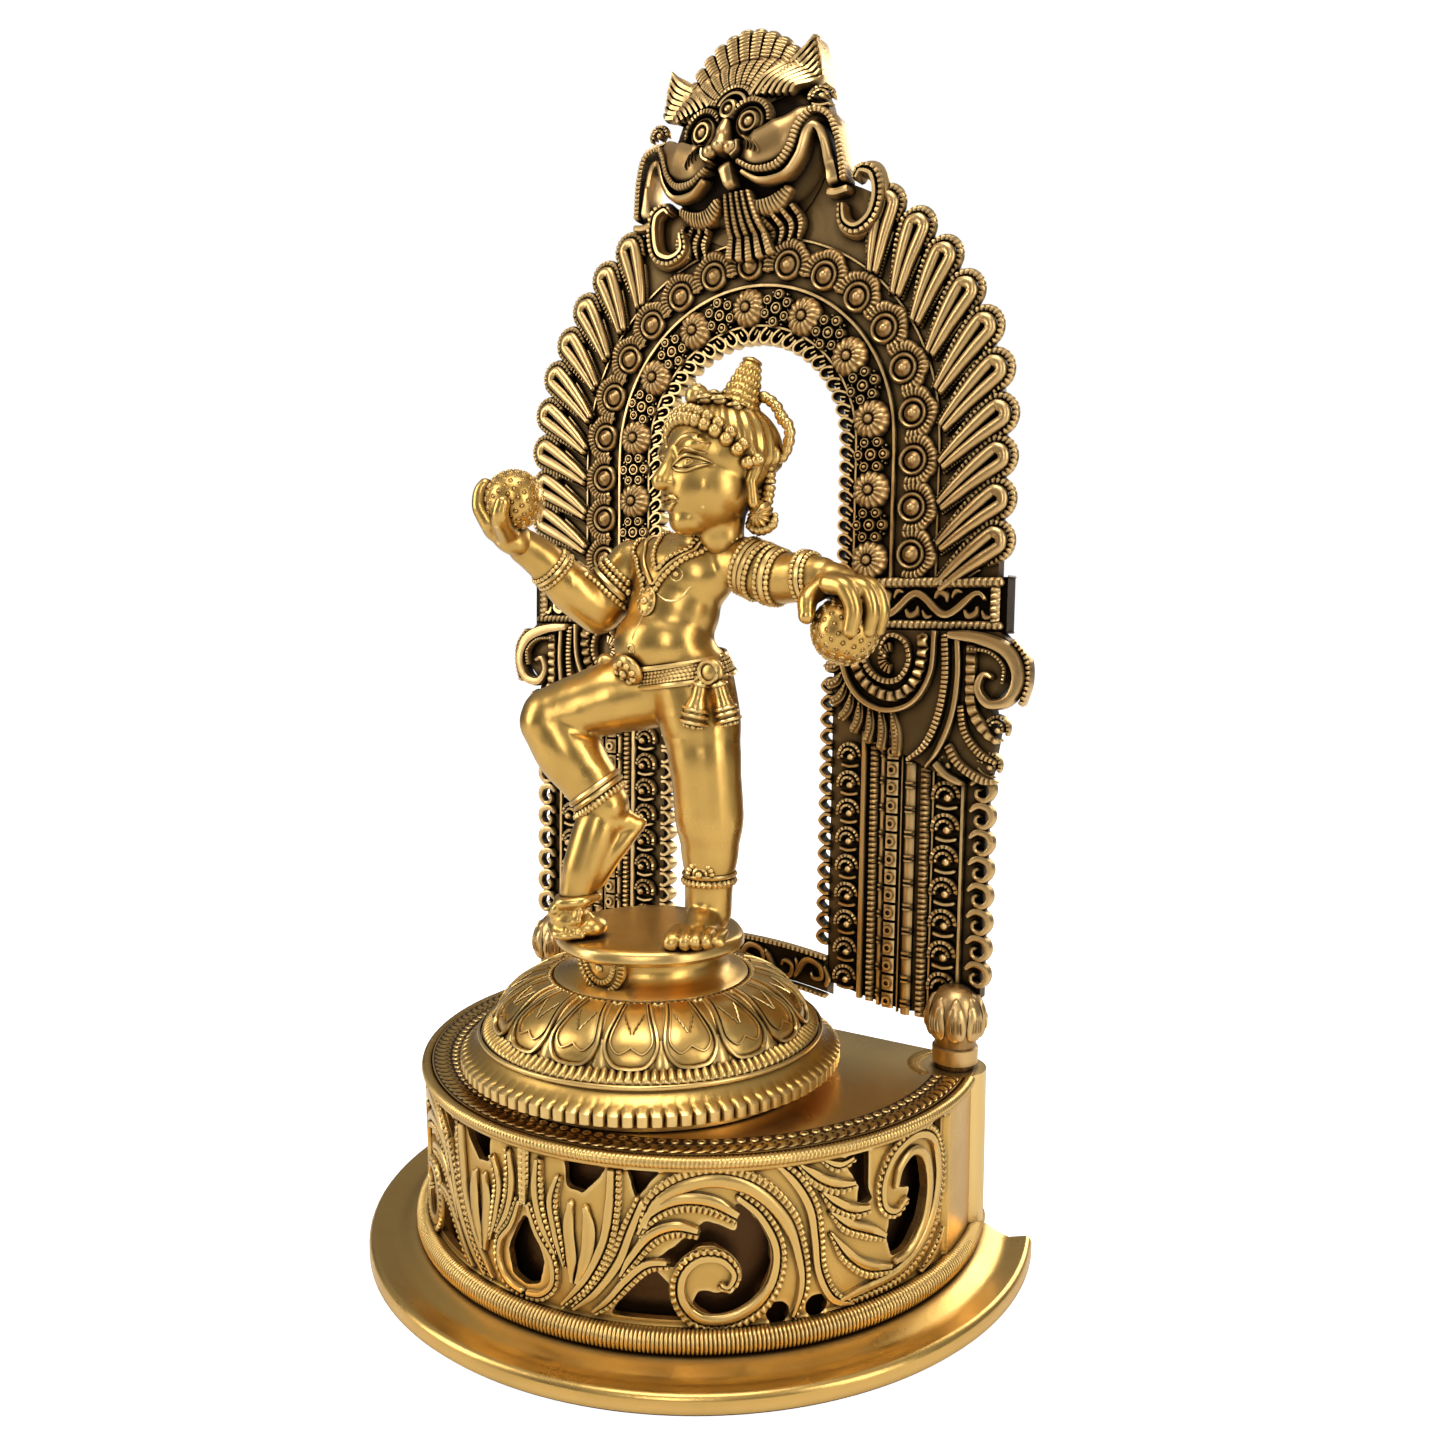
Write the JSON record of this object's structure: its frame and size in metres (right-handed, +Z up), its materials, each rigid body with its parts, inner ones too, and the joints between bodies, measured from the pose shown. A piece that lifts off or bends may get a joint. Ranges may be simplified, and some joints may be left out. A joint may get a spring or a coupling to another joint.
{
  "type": "brass temple statue with lift-out arch",
  "caption": "Dancing child figure with two sweets on a lotus pedestal, on a pierced round-fronted base with a lift-out ornamental arch behind.",
  "frame": {"origin": "centre of the statue's bounding box, at the underside of the foot flange", "axes": "+Z up, -Y towards the front that the figure faces, +X to the figure's left hand"},
  "size_m": [0.21, 0.1418, 0.38],
  "materials": {
    "bright_brass": "satin polished cast brass, warm yellow gold, with darker brown in the punched lines",
    "antique_brass": "antiqued cast brass, near-black in the recesses and rubbed gold on the high points"
  },
  "bodies": {
    "base": {"foot_flange": "bright_brass", "foot_cord": "bright_brass", "pierced_wall": "bright_brass", "back_wall": "bright_brass", "deck_plate": "bright_brass", "deck_cord": "bright_brass", "locating_stub": "bright_brass", "socket_post_left": "bright_brass", "socket_post_right": "bright_brass"},
    "figure": {"lotus_rim": "bright_brass", "lotus_cord": "bright_brass", "lotus_dome": "bright_brass", "lotus_neck": "bright_brass", "standing_slab": "bright_brass", "standing_leg": "bright_brass", "raised_leg": "bright_brass", "torso": "bright_brass", "neck_and_head": "bright_brass", "topknot": "bright_brass", "hair_loop": "bright_brass", "arm_right": "bright_brass", "arm_left": "bright_brass", "sweet_right": "bright_brass", "sweet_left": "bright_brass", "necklace": "bright_brass", "belt": "bright_brass", "sash_tails": "bright_brass", "anklets": "bright_brass", "arm_bands": "bright_brass"},
    "arch": {"arch_plate": "antique_brass", "arch_fringe": "antique_brass", "arch_rims": "antique_brass", "rosette_ring": "antique_brass", "boss_ring": "antique_brass", "feather_ring": "antique_brass", "block_left": "antique_brass", "block_right": "antique_brass", "scroll_bracket_left": "antique_brass", "scroll_bracket_right": "antique_brass", "pillar_left": "antique_brass", "pillar_right": "antique_brass", "crossbar": "antique_brass", "peg_left": "antique_brass", "peg_right": "antique_brass", "lion_mask": "antique_brass", "mask_crest": "antique_brass", "mask_side_hooks": "antique_brass"}
  },
  "joints": [
    {"name": "figure_lift", "type": "slide", "parent": "base", "child": "figure", "axis": [0, 0, 1], "range_m": [0, 0.02]},
    {"name": "arch_lift", "type": "slide", "parent": "figure", "child": "arch", "axis": [0, 0, 1], "range_m": [0, 0.02]}
  ]
}
